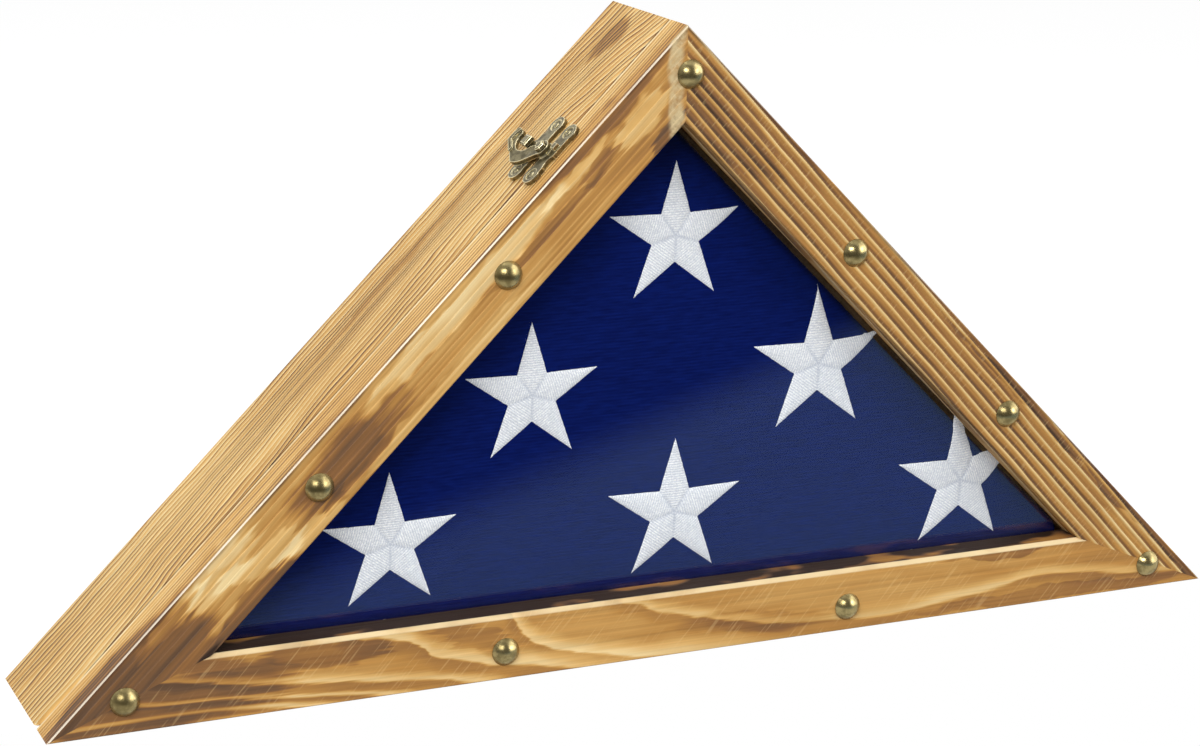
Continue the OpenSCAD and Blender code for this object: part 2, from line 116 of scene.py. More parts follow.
def add(tree, kind, *inputs, sockets=None, **settings):
    """Adds a node, sets its properties, and fills its inputs in order or by name."""
    made = tree.nodes.new(kind)
    for key, value in settings.items():
        setattr(made, key, value)
    for key, value in list(enumerate(inputs)) + list((sockets or {}).items()):
        feed(tree, made.inputs[key], value)
    return made


def maths(tree, operation, *values):
    return add(tree, "ShaderNodeMath", *values, operation=operation).outputs[0]


def times(tree, one, two):
    return maths(tree, "MULTIPLY", one, two)


def plus(tree, one, two):
    return maths(tree, "ADD", one, two)


def less(tree, one, two):
    return maths(tree, "SUBTRACT", one, two)


def laid(tree, mask, amount, before):
    """A value with an amount added where a mask is 1."""
    return maths(tree, "MULTIPLY_ADD", mask, amount, before)


def vmath(tree, operation, *values):
    made = add(tree, "ShaderNodeVectorMath", *values, operation=operation)
    return made.outputs["Value" if operation in ("LENGTH", "DOT_PRODUCT") else "Vector"]


def parted(tree, vector):
    return add(tree, "ShaderNodeSeparateXYZ", vector).outputs


def mapped(tree, value, low, high, to_low=0.0, to_high=1.0, smooth=True):
    kind = "SMOOTHSTEP" if smooth else "LINEAR"
    limits = (low, high, to_low, to_high)
    return add(tree, "ShaderNodeMapRange", value, *limits, interpolation_type=kind).outputs[0]


bm = bmesh.new()
bmesh.ops.create_grid(bm, x_segments=1, y_segments=1, size=FLOOR_SIZE / 2)
floor_mesh = bpy.data.meshes.new("floor")
bm.to_mesh(floor_mesh)
bm.free()
floor = bpy.data.objects.new("floor", floor_mesh)
scene.collection.objects.link(floor)

floor_paint, tree = new_material("white_floor")
rays = add(tree, "ShaderNodeLightPath").outputs
seen = maths(tree, "MAXIMUM", rays["Is Camera Ray"], rays["Is Transmission Ray"])
lit = add(tree, "ShaderNodeBsdfDiffuse", FLOOR_GREY)
glow = add(tree, "ShaderNodeEmission", WHITE, times(tree, seen, FLOOR_GLOW))
white = add(tree, "ShaderNodeAddShader", lit.outputs[0], glow.outputs[0])
place = add(tree, "ShaderNodeTexCoord").outputs["Object"]
# painted reflection: for glossy rays alone the floor glows, dim with a paler blue pool beyond a straight
# edge, and bright close by
pool = add(tree, "ShaderNodeMapping", place, (0, POOL_EDGE, 0), (0, 0, POOL_TURN), (1, 1, 1))
pool_y = parted(tree, pool.outputs[0])[1]
pooled = laid(tree, mapped(tree, pool_y, -0.05, 0.03), POOL_GLOW, POOL_DIM)
floor_x, floor_y, _ = parted(tree, place)
steep = parted(tree, add(tree, "ShaderNodeNewGeometry").outputs["Incoming"])[2]
close = maths(tree, "MAXIMUM", mapped(tree, floor_y, -0.11, -0.09), mapped(tree, steep, 0.4, 0.7))
gloss = add(tree, "ShaderNodeEmission", POOL_BLUE, pooled)
bright = add(tree, "ShaderNodeEmission", WHITE, NEAR_GLOW)
shiny = add(tree, "ShaderNodeMixShader", close, gloss.outputs[0], bright.outputs[0])
mixed = add(tree, "ShaderNodeMixShader", rays["Is Glossy Ray"], white.outputs[0], shiny.outputs[0])
# the eye and the light of the lamps pass through the square
ahead = less(tree, SHELF_EDGE, floor_y)
room = mapped(tree, ahead, 0.0, SHELF_BLUR)
for reach in (ahead, maths(tree, "ABSOLUTE", floor_x)):
    room = times(tree, room, mapped(tree, reach, SHELF_CUT, SHELF_CUT + SHELF_BLUR, 1.0, 0.0))
passing = maths(tree, "MAXIMUM", rays["Is Camera Ray"], rays["Is Shadow Ray"])
hole = add(tree, "ShaderNodeBsdfTransparent")
cut = add(tree, "ShaderNodeMixShader", times(tree, passing, room), mixed.outputs[0], hole.outputs[0])
add(tree, "ShaderNodeOutputMaterial", cut.outputs[0])
floor_mesh.materials.append(floor_paint)

world = bpy.data.worlds.new("sky")
scene.world = world
world.use_nodes = True
tree = world.node_tree
tree.nodes.clear()
rays = add(tree, "ShaderNodeLightPath").outputs
seen = maths(tree, "MAXIMUM", rays["Is Camera Ray"], rays["Is Transmission Ray"])
way = add(tree, "ShaderNodeTexCoord").outputs["Generated"]
studio = mapped(tree, vmath(tree, "DOT_PRODUCT", way, tuple(-CAMERA_LOOK)), 0.35, 0.8, *ROOM_GLOW)
facing = vmath(tree, "DOT_PRODUCT", way, WINDOW)
studio = laid(tree, mapped(tree, facing, 0.78, 0.86), WINDOW_GLOW, studio)
shine = add(tree, "ShaderNodeMix", rays["Is Glossy Ray"], None, SKY_GLOW, studio, data_type="FLOAT")
open_sky = add(tree, "ShaderNodeBackground", WHITE, shine.outputs[0])
seen_sky = add(tree, "ShaderNodeBackground", WHITE, 1.0)
shown = add(tree, "ShaderNodeMixShader", seen, open_sky.outputs[0], seen_sky.outputs[0])
add(tree, "ShaderNodeOutputWorld", shown.outputs[0])


def soft_lamp(name, place, size, power, shine=1.0):
    """A soft rectangle of light aimed at the middle of the glass."""
    lamp = bpy.data.lights.new(name, "AREA")
    lamp.shape = "RECTANGLE"
    lamp.size, lamp.size_y = size
    lamp.energy = power
    lamp.specular_factor = shine
    made = bpy.data.objects.new(name, lamp)
    made.rotation_mode = "QUATERNION"
    made.rotation_quaternion = (LAMP_AIM - Vector(place)).to_track_quat("-Z", "Y")
    made.location = place
    scene.collection.objects.link(made)


soft_lamp("key_lamp", (-1.7, -2.1, 1.9), (1.6, 1.2), 62, 0.15)
soft_lamp("fill_lamp", (1.9, -1.9, 1.1), (1.4, 1.0), 20, 0.3)
soft_lamp("top_lamp", (-0.3, 0.5, 2.2), (1.4, 1.0), 14)


# ---- Torched pine ----------------------------------------------------------------------
# The boards and rails are mitred soft pine, glued and nailed at the corners. They are scorched
# with a torch and wire brushed, so that hard growth rings stand up pale between browned
# hollows, and burnt patches stay dark. The pale crests are partly painted highlights along the
# ridges, and the dark lines beside them partly painted shadow.
rail_low, rail_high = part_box("door_rail_bottom")
HALF = round(rail_high[0], 4)  # half the base, which is the height too
FRONT = round(rail_low[1], 4)
RAIL_WIDTH = round(rail_high[2], 4)
SEAM_DEPTH = round((rail_high[1] + SHELF_EDGE) / 2 - FRONT, 4)  # between the door and the case
SLOPE = HALF / math.sqrt(2)
BOARD_SPACE = {  # where a board's own space starts, how far it is turned, and which way it runs
    "left": ((SLOPE, -FRONT, -SLOPE), 45, (1, 1, 1)),
    "right": ((SLOPE, -FRONT, -SLOPE), 45, (-1, 1, 1)),
    "bottom": ((HALF, -FRONT, 0), 0, (1, 1, -1)),
}
MM = 1000  # millimetres to the metre
CURVE_REACH = 0.1  # how far aside a drawn curve can go
# how fast each figure of the wood changes along and across a board, per metre
FIBRES = (7.0, 520.0, 520.0)
STREAKS = (9.0, 260.0, 260.0)
FRAYING = (5.0, 420.0, 420.0)
WAVERING = (26.0, 50.0, 50.0)
DRIFTING = (9.0, 34.0, 34.0)
WANDERING = 38.0
RING_DRIFT = 8.0
RING_APART = 7.31  # how far apart two neighbouring rings take their noise
CREST_RISE = (0.0, 0.06)  # within a ring that runs from 0 to 1, where its pale crest rises,
CREST_FADE = 0.05  # where it starts to fade,
LINE_START = 0.98  # where its dark line starts, less the line's own width,
LINE_FULL = 0.92
LINE_END = (0.94, 1.0)  # and where that line ends
NICKS = (900.0, 120.0, 120.0)
SCRATCHES = (40.0, 40.0, 900.0)
SMEARING = (160.0, 160.0, 160.0)
FRAY_REACH = 0.035  # how far the ends of a patch are frayed along the board
PATCH_WANDER = (0.03, 0.011, 0.011)  # how far its outline wanders each way
VEIN_WANDER = (0.02, 0.0, 0.0)
MARK_DEPTH = 0.014  # how deep a patch reaches into the wood
FACE_SOFT = 0.14  # how soft its outline is on the front and on the outer edge
EDGE_SOFT = 0.3
VEIN_PALE = (-0.0008, 0.0009)  # across a wide ring, where its pale side ends,
VEIN_BURNT = (-0.0004, 0.0012)  # and where its burnt side begins
VEIN_SHADE = 0.35  # how dark the burnt side is beside the pale one, and how much wider
VEIN_WIDER = 1 / 0.9
VEIN_FRAY = 0.004
SCRATCH_TURN = math.radians(-48)
INNER_DARK_DEPTH = (0.0012, 0.0022)  # how far behind the front face the darkening inside a rail begins, partly char and partly painted shade
SEAM_HALF = (0.0003, 0.0009)  # from the seam's middle, where its painted shade starts to fade and ends
REAR_ARRIS = 0.0014  # from the seam forwards to the middle of the pale arris
# in widths of a pale arris, where its pale band starts to fade and ends, and the painted shade beside the
# outer one
OUTER_PALE_BAND = (0.9, 1.3)
INNER_PALE_BAND = (0.95, 1.2)
OUTER_SHADE_BAND = (2.0, 4.4)
SMEAR_FADE = (0.6, 1.3)  # and the same for a smear of glue, in half widths


def srgb(red, green, blue):
    """A paint chip's 0 to 255 values as the colour that a shader takes."""
    chips = [c / 255 for c in (red, green, blue)]
    linear = [c / 12.92 if c <= 0.04045 else ((c + 0.055) / 1.055) ** 2.4 for c in chips]
    return (*linear, 1)


# from brushed bare wood to charred wood, by how far the torch has burnt it
BURN = [
    (0.0, srgb(250, 222, 164)), (0.22, srgb(226, 180, 108)), (0.42, srgb(192, 140, 72)),
    (0.6, srgb(148, 103, 59)), (0.78, srgb(108, 80, 57)), (1.0, srgb(50, 34, 24)),
]
# painted shade along the seam between the door and the case
SEAM_SHADE_COLOUR = srgb(58, 38, 24)
# painted shade beside the outer arris; the pale inner arris is a painted highlight, and the pale outer one
# partly bare wood and partly painted highlight
ARRIS_SHADE_COLOUR = srgb(92, 58, 36)
TICK_PALE = srgb(236, 200, 140)
SCRATCH_PALE = srgb(240, 204, 142)
OUTER_PALE = srgb(250, 238, 216)
INNER_PALE = srgb(244, 220, 172)
REAR_PALE = srgb(252, 228, 180)
GLUE = srgb(216, 194, 148)


def joined(tree, *values):
    return add(tree, "ShaderNodeCombineXYZ", *values).outputs[0]


def noise_at(tree, vector, scale=1.0, detail=2.0, rough=0.5):
    return add(tree, "ShaderNodeTexNoise", vector, None, scale, detail, rough).outputs[0]


def stretched(tree, vector, factors, detail=2.0, rough=0.5):
    """Noise drawn out along an axis: each factor is how fast it changes that way, per metre."""
    return noise_at(tree, vmath(tree, "MULTIPLY", vector, factors), 1.0, detail, rough)


COLOUR_A, COLOUR_B, COLOUR_OUT = 6, 7, 2  # a Mix node's colour sockets share names with others


def blended(tree, factor, one, two, kind="MIX"):
    made = add(tree, "ShaderNodeMix", data_type="RGBA", blend_type=kind)
    for key, value in (("Factor", factor), (COLOUR_A, one), (COLOUR_B, two)):
        feed(tree, made.inputs[key], value)
    return made.outputs[COLOUR_OUT]


def ramp(tree, value, stops):
    made = add(tree, "ShaderNodeValToRGB", value)
    bands = made.color_ramp.elements
    while len(bands) < len(stops):
        bands.new(0.5)
    for band, (where, colour) in zip(bands, stops):
        band.position = where
        band.color = colour
    return made.outputs[0]


def surfaced(tree, height, strength, depth, looks):
    """The surface that ends a material, with its looks by socket, raised and sunk by a height."""
    bump = add(tree, "ShaderNodeBump", sockets={"Strength": strength, "Distance": depth, "Height": height})
    shader = add(tree, "ShaderNodeBsdfPrincipled", sockets={**looks, "Normal": bump.outputs[0]})
    add(tree, "ShaderNodeOutputMaterial", shader.outputs[0])


def new_group(name, takes, gives):
    """A node group whose sockets are named in two strings, where f is a value and v a vector."""
    group = bpy.data.node_groups.new(name, "ShaderNodeTree")
    kinds = {"f": "NodeSocketFloat", "v": "NodeSocketVector"}
    for text, flow in ((takes, "INPUT"), (gives, "OUTPUT")):
        for item in text.split(", "):
            label, kind = item.rsplit(":", 1)
            group.interface.new_socket(label, in_out=flow, socket_type=kinds[kind])
    return group, group.nodes.new("NodeGroupInput").outputs, group.nodes.new("NodeGroupOutput").inputs


def use(tree, group, **sockets):
    made = tree.nodes.new("ShaderNodeGroup")
    made.node_tree = group
    for key, value in sockets.items():
        feed(tree, made.inputs[key.replace("_", " ")], value)
    return made.outputs


# pine grain: each growth ring starts as a pale crest, fades into brown and ends in a dark
# line, no two alike; the crest is partly a painted highlight and the line partly painted shadow;
# between them run hair-fine fibres and longer brown streaks
grain, ins, outs = new_group(
    "pine_grain", "Place:v, Turn:f, Crest Width:f, Line Width:f, Seed:f",
    "Crest:f, Line:f, Band:f, Fibre:f, Streak:f",
)
along = parted(grain, ins["Place"])[0]
seeded = vmath(grain, "ADD", ins["Place"], joined(grain, ins["Seed"], ins["Seed"], ins["Seed"]))
saw = maths(grain, "FRACT", ins["Turn"])
count = times(grain, maths(grain, "FLOOR", ins["Turn"]), RING_APART)
band = noise_at(grain, joined(grain, times(grain, along, RING_DRIFT), count, ins["Seed"]), 1.0, 1.0)
fading = mapped(grain, saw, CREST_FADE, ins["Crest Width"], 1.0, 0.0)
grain.links.new(times(grain, mapped(grain, saw, *CREST_RISE), fading), outs["Crest"])
rising = mapped(grain, saw, less(grain, LINE_START, ins["Line Width"]), LINE_FULL)
strong = times(grain, rising, mapped(grain, band, 0.36, 0.6, 0.3, 1.0))
grain.links.new(times(grain, strong, mapped(grain, saw, *LINE_END, 1.0, 0.0)), outs["Line"])
grain.links.new(band, outs["Band"])
grain.links.new(stretched(grain, seeded, FIBRES, 1.0, 0.5), outs["Fibre"])
grain.links.new(stretched(grain, seeded, STREAKS, 2.0, 0.6), outs["Streak"])

# one burnt or bared patch: an oval along the board, its ends frayed fibre by fibre
patch, ins, outs = new_group(
    "torch_patch", "Place:v, Centre:v, Size:v, Slant:v, Soft:f, Burn:f, Before:f", "Total:f",
)
shift = vmath(patch, "SUBTRACT", ins["Place"], ins["Centre"])
ahead = parted(patch, shift)[0]
leant = add(patch, "ShaderNodeVectorMath", ins["Slant"], sockets={"Scale": ahead}, operation="SCALE")
away = vmath(patch, "DIVIDE", vmath(patch, "SUBTRACT", shift, leant.outputs[0]), ins["Size"])
rim = less(patch, 1.0, ins["Soft"])
mask = mapped(patch, vmath(patch, "LENGTH", away), rim, plus(patch, 1.0, ins["Soft"]), 1.0, 0.0)
patch.links.new(laid(patch, mask, ins["Burn"], ins["Before"]), outs["Total"])


def drawn(tree, along, points):
    """A smooth curve through (along, aside) points in millimetres, as metres aside."""
    made = add(tree, "ShaderNodeFloatCurve", 1.0, maths(tree, "DIVIDE", along, 2 * HALF))
    made.mapping.use_clip = False
    curve = made.mapping.curves[0]
    spots = [(where / (2 * HALF * MM), aside / (CURVE_REACH * MM)) for where, aside in points]
    curve.points[0].location = spots[0]
    curve.points[1].location = spots[-1]
    for spot in spots[1:-1]:
        curve.points.new(*spot)
    made.mapping.update()
    return times(tree, made.outputs[0], CURVE_REACH)


def growth_rings(tree, at, waver, across, lean, ripple, bend):
    """How deep in the log a spot of the board lies: askew, rippled, and carried aside by a bend."""
    s, d, out = parted(tree, at)
    shell = laid(tree, d, across[0], times(tree, times(tree, out, -1.0), across[1]))
    shell = laid(tree, s, lean, laid(tree, waver, 2 * ripple, shell))
    if bend:
        carried = times(tree, drawn(tree, s, bend), mapped(tree, d, 0.045, 0.08, 1.0, 0.3))
        shell = less(tree, shell, carried)
    return shell


def torch_marks(tree, frayed, total, face_marks, edge_marks):
    """The burn with the torch's patches laid on the front face and on the outer edge."""
    for where, deep, long, wide, slant, amount in face_marks:
        total = use(
            tree, patch, Place=frayed, Centre=(where / MM, 0, -deep / MM), Slant=(0, 0, -slant),
            Size=(long / MM, MARK_DEPTH, wide / MM), Soft=FACE_SOFT, Burn=amount, Before=total,
        )["Total"]
    for where, deep, long, wide, slant, amount in edge_marks:
        total = use(
            tree, patch, Place=frayed, Centre=(where / MM, deep / MM, 0), Slant=(0, slant, 0),
            Size=(long / MM, wide / MM, MARK_DEPTH), Soft=EDGE_SOFT, Burn=amount, Before=total,
        )["Total"]
    return total


def wide_rings(tree, wandering, fray, front, total, veins):
    """The burn with wide growth rings on the front face: pale, sharp outside, and burnt beside."""
    s, _, out = parted(tree, wandering)
    for wide, amount, points in veins:
        gap = plus(tree, plus(tree, out, drawn(tree, s, points)), times(tree, fray, VEIN_FRAY))
        fade = mapped(tree, gap, -wide / MM, VEIN_PALE[0])
        pale = times(tree, mapped(tree, gap, *VEIN_PALE, 1.0, 0.0), fade)
        fade = mapped(tree, gap, VEIN_BURNT[1], wide * VEIN_WIDER / MM, 1.0, 0.0)
        burnt = times(tree, mapped(tree, gap, *VEIN_BURNT), fade)
        swell = laid(tree, burnt, VEIN_SHADE * amount, times(tree, pale, -amount))
        total = laid(tree, swell, front, total)
    return total


def brushed(tree, colour, seeded, front, ticks, scratches):
    """Pale nicks of the wire brush, across the grain or aslant over the front."""
    if ticks:
        cross = stretched(tree, seeded, NICKS, 1.0, 0.4)
        colour = blended(tree, mapped(tree, cross, 0.58, 0.7, 0.0, ticks), colour, TICK_PALE)
    if scratches:
        turn = (0, SCRATCH_TURN, 0)
        aslant = add(tree, "ShaderNodeMapping", seeded, (0, 0, 0), turn, (1, 1, 1)).outputs[0]
        mark = mapped(tree, stretched(tree, aslant, SCRATCHES, 1.0, 0.4), 0.58, 0.7, 0.0, scratches)
        mark = times(tree, mark, front)
        colour = blended(tree, mark, colour, SCRATCH_PALE)
    return colour


def near(tree, distance, width, fade, full=1.0):
    """A mask that is full close by, and fades out where a distance nears a width."""
    return mapped(tree, distance, width * fade[0], width * fade[1], full, 0.0)


def pale_arrises_and_shade(tree, colour, at, waver, fibre, outer_arris, inner_arris, rear_arris):
    """Pale bands along the arrises: on the outer one partly bare wood and partly painted highlight, with
    painted shade beside it; on the inner one a painted highlight; and one at the rear.
    """
    _, d, out = parted(tree, at)
    if outer_arris:
        edge = laid(tree, less(tree, fibre, 0.5), 0.0003, less(tree, d, out))
        # painted shade beside the outer arris, then its pale band, partly bare wood and partly painted
        # highlight
        arris_shade = near(tree, edge, outer_arris, OUTER_SHADE_BAND, 0.75)
        arris_shade = times(tree, arris_shade, mapped(tree, waver, -0.15, 0.1, 0.3, 1.0))
        colour = blended(tree, arris_shade, colour, ARRIS_SHADE_COLOUR)
        colour = blended(tree, near(tree, edge, outer_arris, OUTER_PALE_BAND), colour, OUTER_PALE)
    if inner_arris:
        edge = plus(tree, plus(tree, out, RAIL_WIDTH), d)
        # painted highlight along the inner arris
        pale_band = near(tree, edge, inner_arris, INNER_PALE_BAND)
        pale_band = times(tree, pale_band, mapped(tree, waver, -0.15, 0.1, 0.5, 0.95))
        colour = blended(tree, pale_band, colour, INNER_PALE)
    if rear_arris:
        edge = maths(tree, "ABSOLUTE", less(tree, d, SEAM_DEPTH - REAR_ARRIS))
        pale_band = mapped(tree, edge, 0.0003, rear_arris, 1.0, 0.0)
        pale_band = times(tree, pale_band, mapped(tree, waver, -0.15, 0.05, 0.35, 0.9))
        pale_band = times(tree, pale_band, mapped(tree, out, -0.003, -0.001))
        colour = blended(tree, pale_band, colour, REAR_PALE)
    return colour


def torched_board(
    name, side, spacing, across=(1, 0.3), lean=0.0, ripple=0.001, bend=(), seed=0.0,
    burn=0.3, lines=0.3, line_width=0.3, crest=0.12, crest_width=0.4, bands=0.1, streaks=0.3,
    relief=0.5, cloud=0.1, calm=0.0, face_marks=(), edge_marks=(), veins=(), outer_arris=0.0,
    inner_arris=0.0, rear_arris=0.0, inner_char_and_shade=0.0, ticks=0.0, scratches=0.0, smear=0.0,
):
    """Material of one board: its own log, its own torch marks, and its own pale arrises, partly painted
    highlight and shade.

    It works in metres along the board from its tip (s), back from the front face (d), and out
    of the edge (out). A face mark is (along, in from the edge, half length, half width, slant,
    burn) on the front, and an edge mark the same with its depth from the front, on the outside,
    all in millimetres. A vein is one wide growth ring on the front: its width, its paleness and
    its curve.
    """
    made, tree = new_material(name)
    raw = add(tree, "ShaderNodeTexCoord").outputs["Object"]
    start, turn, scale = BOARD_SPACE[side]
    at = add(tree, "ShaderNodeMapping", raw, start, (0, math.radians(turn), 0), scale).outputs[0]
    _, d, out = parted(tree, at)
    seeded = vmath(tree, "ADD", at, (seed, seed, seed))
    waver = less(tree, stretched(tree, seeded, WAVERING), 0.5)
    front = mapped(tree, d, 0.001, 0.003, 1.0, 0.0)

    shell = growth_rings(tree, at, waver, across, lean, ripple, bend)
    pine = use(
        tree, grain, Place=at, Turn=maths(tree, "DIVIDE", shell, spacing), Crest_Width=crest_width,
        Line_Width=line_width, Seed=seed,
    )

    fray = less(tree, stretched(tree, seeded, FRAYING, 2.0, 0.6), 0.5)
    frayed = vmath(tree, "ADD", at, joined(tree, times(tree, fray, FRAY_REACH)))
    tints = add(tree, "ShaderNodeTexNoise", seeded, None, WANDERING, 2.0, 0.6).outputs[1]
    wander = vmath(tree, "SUBTRACT", tints, (0.5, 0.5, 0.5))
    frayed = vmath(tree, "ADD", frayed, vmath(tree, "MULTIPLY", wander, PATCH_WANDER))
    drift = stretched(tree, seeded, DRIFTING, 3.0, 0.6)
    total = plus(tree, mapped(tree, drift, 0.3, 0.7, -cloud, cloud), burn)
    total = torch_marks(tree, frayed, total, face_marks, edge_marks)
    wandering = vmath(tree, "ADD", at, vmath(tree, "MULTIPLY", wander, VEIN_WANDER))
    total = wide_rings(tree, wandering, fray, front, total, veins)

    # inside a rail the wood is darkened, partly scorched and partly painted shade of the recess behind the
    # glass; a negative amount, as on the right rail, paints the inner face paler against its shade
    inside = mapped(tree, out, -RAIL_WIDTH, -RAIL_WIDTH + 0.0006, 1.0, 0.0)
    inside = times(tree, inside, mapped(tree, d, *INNER_DARK_DEPTH))
    charred_and_shaded = times(tree, mapped(tree, waver, -0.02, 0.14, 1.0, 0.1), inner_char_and_shade)
    total = laid(tree, inside, charred_and_shaded, total)
    deepened = mapped(tree, total, 0.15, 0.5, 0.3, 1.0)
    total = laid(tree, times(tree, less(tree, pine["Streak"], 0.5), deepened), streaks, total)
    total = laid(tree, less(tree, pine["Band"], 0.5), bands, total)
    # the pale crests, partly painted highlights, and the dark lines, partly painted shadow
    marked = laid(tree, pine["Line"], lines, times(tree, pine["Crest"], -crest))
    total = laid(tree, marked, laid(tree, front, -calm, 1.0), total)
    fleck = mapped(tree, pine["Fibre"], 0.25, 0.75, 0.86, 1.1, smooth=False)
    colour = blended(tree, 1.0, ramp(tree, total, BURN), joined(tree, fleck, fleck, fleck), "MULTIPLY")

    colour = brushed(tree, colour, seeded, front, ticks, scratches)
    # painted shade: a dark line along the seam between the door and the case, on the outer edge
    seam = maths(tree, "ABSOLUTE", less(tree, d, SEAM_DEPTH))
    seam = times(tree, mapped(tree, seam, *SEAM_HALF, 0.8, 0.0), mapped(tree, out, -0.004, -0.0015))
    colour = blended(tree, seam, colour, SEAM_SHADE_COLOUR)
    colour = pale_arrises_and_shade(tree, colour, at, waver, pine["Fibre"], outer_arris, inner_arris, rear_arris)
    if smear:
        middle = plus(tree, laid(tree, waver, 0.012, parted(tree, raw)[0]), smear)
        glue = near(tree, maths(tree, "ABSOLUTE", middle), smear, SMEAR_FADE)
        patchy = stretched(tree, at, SMEARING, 3.0, 0.7)
        glue = times(tree, glue, mapped(tree, patchy, 0.3, 0.6, 0.25, 0.95))
        colour = blended(tree, times(tree, glue, front), colour, GLUE)

    height = less(tree, pine["Crest"], pine["Line"])
    height = laid(tree, height, relief, times(tree, pine["Fibre"], 0.35))
    looks = {"Base Color": colour, "Roughness": 0.62, "Specular IOR Level": 0.25}
    surfaced(tree, height, 0.9, 0.0007, looks)
    return made


def paint(name, material):
    """Gives a CAD node one material."""
    mesh = nodes[name].data
    mesh.materials.clear()
    mesh.materials.append(material)


paint("case_board_left", torched_board(
    "torched_pine_case_left", "left", 0.0042, ripple=0.0034, seed=3.1, burn=0.27, lines=0.44,
    line_width=0.45, crest=0.28, crest_width=0.5, bands=0.14, streaks=0.22, relief=0.9, cloud=0.08,
    bend=[
        (0, 0), (80, 4), (105, 9), (160, 13), (205, 20), (240, 21), (300, 24), (345, 27), (380, 26),
        (410, 20), (450, 6),
    ],
    edge_marks=[(440, 60, 12, 9, 0, 0.34), (300, 68, 90, 4, 0.02, 0.16), (330, 24, 90, 3, 0, 0.1)],
))
paint("case_board_right", torched_board(
    "torched_pine_case_right", "right", 0.0036, lean=-0.02, ripple=0.002, seed=7.7, burn=0.3, lines=0.34,
    line_width=0.4, crest=0.14, relief=1.0,
    edge_marks=[(60, 60, 60, 20, 0, 0.3), (300, 66, 120, 6, 0, 0.3)],
))
paint("case_board_bottom", torched_board(
    "torched_pine_case_bottom", "bottom", 0.006, lean=0.02, ripple=0.003, seed=11.3, burn=0.36, lines=0.25,
    crest=0.14, relief=0.6,
))
paint("door_rail_left", torched_board(
    "torched_pine_rail_left", "left", 0.0027, across=(1, 0.55), ripple=0.0004, seed=5.2, burn=0.4,
    lines=0.34, line_width=0.5, crest=0.2, crest_width=0.5, bands=0.12, streaks=0.5, relief=0.4,
    cloud=0.07, calm=0.8, outer_arris=0.0006, rear_arris=0.0011, inner_char_and_shade=0.5, smear=0.004,
    face_marks=[
        (38, 17, 58, 28, 0, 0.36), (108, 33, 40, 6, 0, 0.3), (80, 6, 26, 4, 0, -0.18),
        (117, 9, 23, 10, 0, -0.17), (130, 21, 22, 7, 0.3, -0.17), (152, 29, 22, 4, 0.06, -0.18),
        (126, 4, 14, 5, 0, -0.07), (192, 17, 32, 10, 0, 0.13), (197, 17, 44, 13, 0, 0.13),
        (175, 27, 8, 4, 0, 0.12), (282, 9, 72, 6, 0, -0.24), (368, 8, 26, 3, -0.04, -0.2),
        (255, 31, 66, 3.5, 0, -0.14), (335, 17, 50, 2.5, 0, 0.12), (412, 15, 19, 8, -0.1, -0.24),
        (394, 3, 46, 3, 0, 0.14), (378, 15, 15, 5, 0, 0.12), (417, 30, 12, 4, 0, 0.28),
    ],
    edge_marks=[(230, 13, 260, 14, 0, -0.13), (400, 5, 80, 6, 0, 0.14), (140, 5, 120, 3, 0, 0.08)],
))
paint("door_rail_right", torched_board(
    "torched_pine_rail_right", "right", 0.0051, across=(0.4, 1), lean=0.034, ripple=0.0007, seed=9.4,
    burn=0.5, lines=0.28, line_width=0.4, crest=0.44, crest_width=0.5, bands=0.1, streaks=0.14,
    relief=0.9, cloud=0.05, outer_arris=0.0005, inner_arris=0.0006, inner_char_and_shade=-0.24, ticks=0.2,
    face_marks=[(110, 3, 130, 3, 0, 0.2), (415, 20, 46, 14, 0, 0.16), (40, 12, 40, 12, 0, -0.08)],
))
paint("door_rail_bottom", torched_board(
    "torched_pine_rail_bottom", "bottom", 0.03, across=(1, 0.1), lean=0.02, ripple=0.004, seed=1.8,
    burn=0.42, lines=0.04, crest=0.03, bands=0.06, streaks=0.14, relief=0.1, cloud=0.06,
    inner_arris=0.002, inner_char_and_shade=0.8, scratches=0.22,
    face_marks=[
        (46, 16, 76, 18, 0, 0.3), (70, 21, 24, 5, -0.15, 0.06), (140, 26, 30, 7, 0, 0.2),
        (84, 29, 30, 5, 0, -0.06), (216, 24, 20, 8, -0.4, 0.12), (370, 11, 40, 6, -0.1, 0.1),
        (520, 31, 34, 3, 0, 0.2), (560, 4, 90, 4, 0, 0.14), (470, 22, 110, 12, 0, -0.04),
    ],
    veins=[
        (3, 0.3, [(0, 3), (50, 5), (90, 4), (122, 1), (160, -4)]),
        (3, 0.3, [(30, 14), (47, 12), (92, 9), (140, 4), (175, 0), (200, -4)]),
        (6, 0.28, [(40, 26), (60, 23), (90, 17), (115, 14), (150, 10), (197, 4), (240, -4)]),
        (12, 0.3, [(145, 38), (155, 32), (180, 27), (195, 17), (217, 11), (240, 6), (272, 1), (300, -4)]),
        (10, 0.28, [(230, 40), (235, 32), (242, 22), (260, 12), (285, 6), (310, 2), (345, 0), (380, -4)]),
        (7, 0.24, [
            (290, 36), (315, 25), (330, 22), (355, 15), (380, 10), (412, 7), (450, 5), (480, 8), (517, 12),
            (547, 16), (570, 14), (602, 10), (650, 6),
        ]),
    ],
))


# ---- Back panel, brads and hanger ------------------------------------------------------
# A sheet of brown hardboard lies in the rebate at the back and small steel brads hold it.
# A stamped sawtooth strip is nailed across the apex. All this hardware is zinc plated.
def plain_board(name, light, dark, scale, rough):
    """Unburnt board, flecked and a little clouded; the scale is how fine the flecks are."""
    made, tree = new_material(name)
    place = add(tree, "ShaderNodeTexCoord").outputs["Object"]
    fleck = noise_at(tree, place, scale, 4.0, 0.7)
    cloud = noise_at(tree, place, scale / 12)
    tone = mapped(tree, laid(tree, cloud, 0.5, fleck), 0.5, 1.0)
    colour = blended(tree, tone, dark, light)
    surfaced(tree, fleck, 0.4, 0.0002, {"Base Color": colour, "Roughness": rough})
    return made


